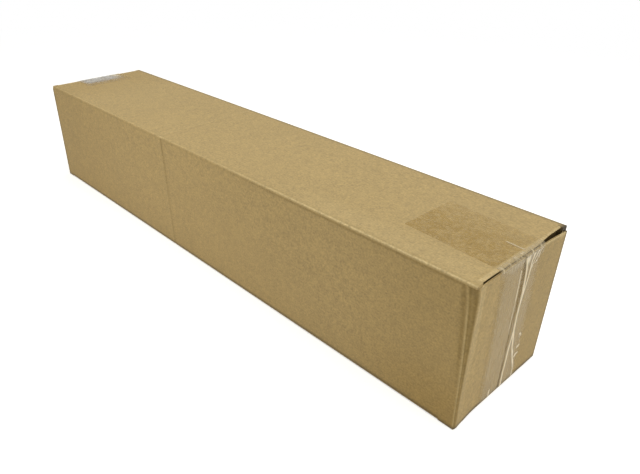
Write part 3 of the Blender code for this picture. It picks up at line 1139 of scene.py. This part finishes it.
class CARTON_OT_inner_folds(bpy.types.Operator):
    """Makes the bulging folds between the sleeve and the inner flaps"""

    bl_idname = "carton.inner_folds"
    bl_label = "Inner Folds"

    outline_points = 45
    steps = 24
    fold_run = INNER_FOLD_RUN / MM
    taped_nose, bare_nose = 1.5, 1.1

    def execute(self, context):
        for end, panel in product(ENDS, PANELS):
            self.make(context.scene.carton_board, end, panel)
        return {"FINISHED"}

    def outline(self, thick, bulge, nose):
        """From the panel's face over the bulge to the flap's outer face, as millimetres from the pivot."""
        return (
            (0.0, thick),
            (0.5 * bulge, thick),
            (bulge - 1.0, thick),
            (bulge - 0.35, thick - 0.08),
            (bulge - 0.05, thick - 0.36 * nose),
            (bulge, thick - 0.68 * nose),
            (bulge - 0.35, thick - nose),
            (bulge - 1.2, thick - 1.36 * nose),
            (max(bulge - 2.0, 1.45), thick - 1.36 * nose - 0.9),
            (1.5, thick - 1.36 * nose - 2.2),
            lean(self.fold_run - 0.8, thick),
            lean(self.fold_run, thick),
        )

    def inner_outline(self, pressed):
        """From the flap's inner face, which is pressed outwards there, back to the panel."""
        along, up = lean(self.fold_run, pressed)
        return [(along * share, up * share) for share in (1, 0.6, 0.3)] + [(0.0, 0.0), (0.0, 1.2)]

    def nose(self, end, panel, y):
        """How deep the bulge's nose is. The tape holds it rounder."""
        return lerp(self.taped_nose, self.bare_nose, ease(0.9, 1.05, tape_on_end(end, y, FACES[panel])))

    def section(self, end, panel, thick, y):
        """The fold's section at a place across the carton, in millimetres."""
        bulge = lerp(*INNER[end, panel].bulge, ease(0.012, 0.034, y))
        outline = self.outline(thick, bulge, self.nose(end, panel, y))
        inner = self.inner_outline(thick * inner_crush(end, panel, y))
        return smooth_path(outline, self.outline_points) + [Vector(point) for point in inner]

    def make(self, look, end, panel):
        thick = look.board / MM
        places = [lerp(-INNER_HALF, INNER_HALF, step / self.steps) for step in range(self.steps + 1)]
        sections = [self.section(end, panel, thick, y) for y in places]
        size = len(sections[0])
        fold = section_bar(f"{end}_{panel}_inner_fold", size, self.steps)
        rows = []
        for vert in fold.data.vertices:
            corner, step = corner_of(vert, size), round(vert.co.z * self.steps)
            along, up = sections[step][corner]
            y = lerp(-INNER_HALF, INNER_HALF, vert.co.z)
            vert.co = inner_place(end, panel, along * MM, up * MM, y)
            across, inside = tape_on_sleeve(*vert.co)
            # Under the nose the fold gets painted shade for the dark gap below the lip, darkest at the right
            # top; the lip is paler, for wear and a painted highlight
            under = lip = 0.0
            if corner < self.outline_points:
                under = ease(-1.0, -1.5, (up - thick) / self.nose(end, panel, places[step]))
                lip = ease(1.6, 2.6, along)
            dirt = under * INNER[end, panel].lip_dirt * ease(0.006, 0.018, y)
            rows.append((0.5 * lip * (1 - under), under, dirt, NOT_TAPED if lip > 0 else across, inside, y))
        finish_fold(fold, "worn pressed dirt tape_across tape_along girth", rows)
        inner_place(end, panel, 0.0005, 0.0022)
        inner_place(end, panel, 0.0003, -0.0046)
        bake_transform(fold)


# Pleats of the film, in millimetres of Y and Z on an end: path, height, half width, whiteness
PLEATS = {
    "right": (
        (
            (
                (0.2, 99.2), (1.0, 95), (2.4, 90.5), (3.1, 86), (3.8, 79), (4.6, 73.5), (4.4, 66), (4.2, 57),
                (4.9, 46), (4.1, 38), (3.5, 30), (3.6, 22), (3.2, 14.8), (3.6, 2),
            ),
            0.35, 0.95, 1.0,
        ),
        (((9.0, 99.2), (7.3, 94), (7.2, 84), (6.5, 78), (5.2, 70), (4.6, 62)), 0.25, 0.8, 0.70),
        (
            ((4.9, 46), (7.4, 36), (9.2, 28), (10.8, 25), (12.9, 19), (15.7, 13), (17, 9), (17.4, 2)),
            0.20, 0.9, 0.65,
        ),
        (((-4.0, 92), (-3.6, 89), (-2.9, 81), (-2.5, 71)), 0.05, 0.6, 0.45),
        (((-2.5, 71), (-2.2, 58), (-1.9, 48)), 0.05, 0.6, 0.28),
        (((14.0, 99.2), (11.2, 95), (8.2, 89), (7.2, 84)), 0.20, 0.6, 0.60),
        (((18.0, 99.2), (15.0, 95.5), (12.5, 91)), 0.15, 0.6, 0.50),
        (((-10.7, 6.5), (-10.9, 2.2)), 0.10, 0.8, 0.60),
        # The last three are painted glints: bright spots for the highlights off small bubbles under the film
        (((15.6, 37.6), (17.4, 35.8), (16.8, 34.6)), 0.08, 0.9, 0.65),
        (((18.4, 27.2), (16.4, 26.4)), 0.10, 0.9, 0.90),
        (((18.6, 20.6), (16.1, 20.4), (15.2, 19.3)), 0.08, 0.8, 0.85),
    ),
    "left": (
        (((-3.5, 99.2), (-4.5, 90), (-2.8, 70), (-4.0, 45), (-5.8, 20), (-5.0, 2)), 0.28, 0.8, 0.85),
        (((6.0, 99.2), (5.0, 86), (3.4, 66), (4.2, 40)), 0.20, 0.7, 0.55),
        (((-14.0, 99.2), (-10.0, 92), (-5.0, 82)), 0.15, 0.6, 0.40),
        (((4.2, 42), (8.0, 24), (13.0, 4)), 0.18, 0.7, 0.50),
    ),
}
# Pleats of the tails, in millimetres of X and Y on the top or bottom
TAIL_PLEATS = {
    ("right", "top"): ((((244.3, 2.9), (255.2, 2.3)), 0.15, 0.6, 0.5),),
    ("left", "top"): (
        (((-257.0, 14.0), (-251.5, 17.5), (-248.0, 19.0)), 0.2, 1.0, 0.7),
        (((-257.5, -6.0), (-251.0, -3.0)), 0.1, 0.8, 0.2),
    ),
    ("right", "bottom"): ((((215.0, -8.0), (248.0, -5.0)), 0.0, 0.5, 0.5),),
    ("left", "bottom"): ((((-230.0, 6.0), (-252.0, 9.0)), 0.0, 0.5, 0.5),),
}
# The film on the flaps lies between these heights, this far from the middle of the slit
TAPE_TOP = 0.0992
TAPE_BOTTOM = 0.0008
SLIT = 0.00005


def line_distance(point, path):
    """Distance from a flat point to a path of straight runs."""
    nearest = math.inf
    for start, end in zip(path, path[1:]):
        run = end - start
        share = clamp((point - start).dot(run) / run.length_squared)
        nearest = min(nearest, (point - start - run * share).length)
    return nearest


def pleated(point, pleats):
    """How high the film stands at a point in millimetres, and how white its pleats are there."""
    rise = white = 0.0
    for path, height, width, whiteness in pleats:
        fall = bell(line_distance(point, [Vector(p) for p in path]), width)
        rise = max(rise, height * fall)
        white = max(white, whiteness * fall)
    return rise * MM, white


def wrinkles(*place):
    """Fine white wrinkles: how white the film is at a place, which is scaled to their size."""
    return max(noise.noise(Vector(place)) - 0.05, 0.0)


def near_end_edge(before):
    """How near a tail's film is to the end edge, by its distance before the end face."""
    return ease(0.0042, 0.0026, before)


def film_piece(name, columns, rows, place):
    """A film shaped by place(x, y): a point, and how white, lifted, glaring and milky it is there."""
    sheet = unit_sheet(name, columns, rows)
    points, *marks = zip(*(place(vert.co.x, vert.co.y) for vert in sheet.data.vertices))
    for vert, point in zip(sheet.data.vertices, points):
        vert.co = point
    paint(sheet, "pleat lifted glare milky", zip(*marks))
    finish_with(sheet, "SOLIDIFY", thickness=bpy.context.scene.carton_tape.film, offset=0)
    settle(sheet)
    close_outward(sheet)
    shade(sheet, math.radians(60))
    give(sheet, clear_film)
    return sheet


class CARTON_OT_flap_films(bpy.types.Operator):
    """Lays the tape on the outer flaps, slit along the seam, with its pleats"""

    bl_idname = "carton.flap_films"
    bl_label = "Flap Films"

    columns, rows = 62, 220
    dip = 0.00015  # how far the film sinks into the seam

    def execute(self, context):
        for end, side in product(ENDS, SIDES):
            self.make(context.scene.carton_tape, end, side)
        return {"FINISHED"}

    def make(self, look, end, side):
        toward = SIDES[side]

        def place(across, height):
            z = lerp(TAPE_BOTTOM, TAPE_TOP, height)
            edge = tape_middle(end, z) + toward * look.width / 2
            seam = seam_at(end, z)
            y = lerp(edge, seam + toward * SLIT, across)
            rise, white = pleated(Vector((y, z)) / MM, PLEATS[end])
            crumpled = ease(TAPE_TOP - 0.009, TAPE_TOP - 0.001, z) * ease(-0.010, 0.004, y)
            white = max(white, 0.9 * crumpled * wrinkles(y * 420, z * 90, 4.0))
            over_gap = 1 - ease(SEAM_GAP * 0.4, SEAM_GAP * 0.9, abs(y - seam))
            x = END + look.stand + rise - self.dip * over_gap
            lifted = max(0.30 * ease(TAPE_TOP - 0.006, TAPE_TOP, z), 0.35 * over_gap)
            milky = 0.3 * ease(TAPE_TOP - 0.010, TAPE_TOP - 0.002, z) * ease(-0.024, -0.004, y)
            glare = ease(0.0, 0.009, abs(y - edge)) * (1 - 0.75 * seam_stain(end, y, z))
            return Vector((ENDS[end] * x, y, z)), white, lifted, glare, milky

        film = film_piece(f"{end}_{side}_flap_film", self.columns, self.rows, place)
        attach(film, f"{end}_{side}_flap")
        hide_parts(f"{end}_{side}_flap_tape")


class CARTON_OT_tail_films(bpy.types.Operator):
    """Lays the tape's tails on the top and bottom panels, curled over the end edges"""

    bl_idname = "carton.tail_films"
    bl_label = "Tail Films"

    column_width, rows = 0.0007, 80
    flat_share = 0.86  # of the columns, before the curl
    curl_points = 16
    curl_depth = {"top": 0.0026, "bottom": 0.0015}
    glare = 0.25

    def execute(self, context):
        for end, panel in product(ENDS, PANELS):
            self.make(context.scene.carton_tape, end, panel)
        return {"FINISHED"}

    def lip(self, look, panel):
        """The curl over the end edge: distance before the end face, and depth below the panel's face."""
        deepest = self.curl_depth[panel]
        return (
            (0.0045, -look.stand),
            (0.0030, -look.stand),
            (0.0016, -0.0001),
            (0.0005, 0.10 * deepest),
            (-0.0002, 0.32 * deepest),
            (-0.0004, 0.68 * deepest),
            (-0.0004, deepest),
        )

    def make(self, look, end, panel):
        length, far_middle = TAILS[end, panel]
        curl = smooth_path(self.lip(look, panel), self.curl_points)

        def place(along, across):
            if along < self.flat_share:
                before = lerp(length, curl[0].x, along / self.flat_share)
                below = -look.stand
            else:
                spot = (along - self.flat_share) / (1 - self.flat_share) * (len(curl) - 1)
                index = min(int(spot), len(curl) - 2)
                before, below = curl[index].lerp(curl[index + 1], spot - index)
            x = ENDS[end] * (END - before)
            middle = lerp(far_middle, TAPE_MIDDLE[end][panel], 1 - before / length)
            y = middle + (across - 0.5) * look.width
            rise, white = pleated(Vector((x, y)) / MM, TAIL_PLEATS[end, panel])
            if panel == "top":
                white = max(white, 0.8 * near_end_edge(before) * wrinkles(y * 420, before * 150, 7.0))
            lifted, milky = self.lifted(end, panel, before, y, across)
            point = Vector((x, y, FACES[panel] + PANELS[panel] * (rise - below)))
            return point, white, lifted, self.glare, milky

        film = film_piece(f"{end}_{panel}_tape_tail", round(length / self.column_width), self.rows, place)
        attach(film, "sleeve")
        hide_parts(f"{end}_{panel}_tape")

    def lifted(self, end, panel, before, y, across):
        """How far the film has lifted and how milky it is: at its rims, on the curl and in one patch."""
        rim = 0.06 * bell(min(across, 1 - across), 0.012)
        curl = near_end_edge(before)
        if (end, panel) != ("left", "top"):
            return max(rim, 0.30 * curl), 0.20 * curl
        patch = ease(0.026, 0.012, before) * ease(-0.024, -0.016, y) * ease(0.026, 0.014, y)
        return max(rim, 0.25 * curl, 0.60 * patch), ease(0.024, 0.008, y)


class CARTON_OT_stage(bpy.types.Operator):
    """Sets the floor, the soft lamps, the sky and the camera"""

    bl_idname = "carton.stage"
    bl_label = "Stage"

    floor_size = 8
    floor_drop = 0.0001
    white_from, white_past = 0.5, 1.2  # how far out the floor turns plain white

    def execute(self, context):
        look = context.scene.carton_stage
        self.floor(look)
        self.sky(context.scene, look)
        self.lamp("key_lamp", (0.35, 0.05, 1.5), (0.0, 0.0, 0.0), 1.6, look.key_power)
        self.lamp("side_lamp", (1.4, 0.1, 0.5), (0.25, 0.0, 0.05), 0.8, look.side_power)
        fill = self.lamp("fill_lamp", (-0.08, -0.36, 0.24), (-0.08, 0.0, 0.05), 0.25, look.fill_power)
        fill.data.color = look.fill_colour
        self.camera(context.scene, look)
        context.scene.view_settings.view_transform = "Standard"
        return {"FINISHED"}

    def seen_directly(self, finish):
        """1 for rays that show the stage itself, in the camera, in gloss or through film."""
        kinds = ("Camera", "Glossy", "Transmission")
        camera, gloss, through = (finish.node("ShaderNodeLightPath", out=f"Is {kind} Ray") for kind in kinds)
        return finish.ramp(camera + gloss + through, 0.0, 1.0)

    def floor(self, look):
        deselect_all()
        bpy.ops.mesh.primitive_grid_add(
            x_subdivisions=8, y_subdivisions=8, size=self.floor_size, location=(0, 0, -self.floor_drop)
        )
        floor = name_new("floor")
        pale = Finish(bpy.data.materials.new("pale_floor"))
        matt = pale.node("ShaderNodeBsdfDiffuse", None, {"Color": (*look.floor, 1.0)})
        glow = pale.node("ShaderNodeEmission", None, {"Strength": look.floor_lift})
        lifted = pale.node("ShaderNodeAddShader", None, {0: matt, 1: glow})
        seen = self.seen_directly(pale)
        near = pale.node("ShaderNodeMixShader", None, {0: seen, 1: matt, 2: lifted})
        where = pale.node("ShaderNodeTexCoord", out="Object")
        reach = pale.node("ShaderNodeVectorMath", {"operation": "LENGTH"}, {0: where}, out="Value")
        white = pale.node("ShaderNodeEmission", None, {"Strength": 1.0})
        far = seen * pale.ramp(reach, self.white_from, self.white_past)
        whole = pale.node("ShaderNodeMixShader", None, {0: far, 1: near, 2: white})
        floor.data.materials.append(pale.put_out("ShaderNodeOutputMaterial", whole))

    def sky(self, scene, look):
        scene.world = bpy.data.worlds.new("studio_sky")
        even = Finish(scene.world)
        tint = {"Color": (*look.sky_colour, 1.0), "Strength": look.sky}
        light = even.node("ShaderNodeBackground", None, tint)
        white = even.node("ShaderNodeBackground", None, {"Color": (1.0, 1.0, 1.0, 1.0), "Strength": 1.0})
        both = even.node("ShaderNodeMixShader", None, {0: self.seen_directly(even), 1: light, 2: white})
        even.put_out("ShaderNodeOutputWorld", both)

    def lamp(self, name, location, target, size, power):
        bpy.ops.object.light_add(type="AREA", location=location)
        lamp = bpy.context.object
        lamp.name = name
        lamp.rotation_euler = (Vector(target) - Vector(location)).to_track_quat("-Z", "Y").to_euler()
        lamp.data.size = size
        lamp.data.energy = power
        return lamp

    def camera(self, scene, look):
        turn = [math.radians(angle) for angle in CAMERA_TURN]
        bpy.ops.object.camera_add(location=CAMERA_PLACE, rotation=turn)
        camera = bpy.context.object
        camera.name = "camera"
        camera.data.sensor_width = 36.0
        camera.data.lens = look.lens
        camera.data.clip_start = 0.01
        scene.camera = camera


class CARTON_PT_sidebar(bpy.types.Panel):
    """Lists the carton's settings and the steps that make it"""

    bl_label = "Long Carton"
    bl_idname = "CARTON_PT_sidebar"
    bl_space_type = "VIEW_3D"
    bl_region_type = "UI"
    bl_category = "Carton"

    def draw(self, context):
        for group in SETTINGS:
            column = self.layout.column(align=True)
            settings = getattr(context.scene, group)
            for name in settings.bl_rna.properties.keys():
                if name not in ("rna_type", "name"):
                    column.prop(settings, name)
        for operator in OPERATORS:
            self.layout.operator(operator.bl_idname)


SETTINGS = {
    "carton_board": CartonBoardSettings,
    "carton_tape": CartonTapeSettings,
    "carton_stage": CartonStageSettings,
}
OPERATORS = (
    CARTON_OT_sleeve,
    CARTON_OT_outer_flaps,
    CARTON_OT_outer_folds,
    CARTON_OT_inner_flaps,
    CARTON_OT_inner_folds,
    CARTON_OT_flap_films,
    CARTON_OT_tail_films,
    CARTON_OT_stage,
)
CLASSES = (*SETTINGS.values(), *OPERATORS, CARTON_PT_sidebar)


def register():
    for cls in CLASSES:
        bpy.utils.register_class(cls)
    for name, group in SETTINGS.items():
        setattr(bpy.types.Scene, name, PointerProperty(type=group))


def unregister():
    for name in SETTINGS:
        delattr(bpy.types.Scene, name)
    for cls in reversed(CLASSES):
        bpy.utils.unregister_class(cls)


def main():
    register()
    bpy.ops.carton.sleeve()
    bpy.ops.carton.outer_flaps()
    bpy.ops.carton.outer_folds()
    bpy.ops.carton.inner_flaps()
    bpy.ops.carton.inner_folds()
    bpy.ops.carton.flap_films()
    bpy.ops.carton.tail_films()
    bpy.ops.carton.stage()


if __name__ == "__main__":
    main()
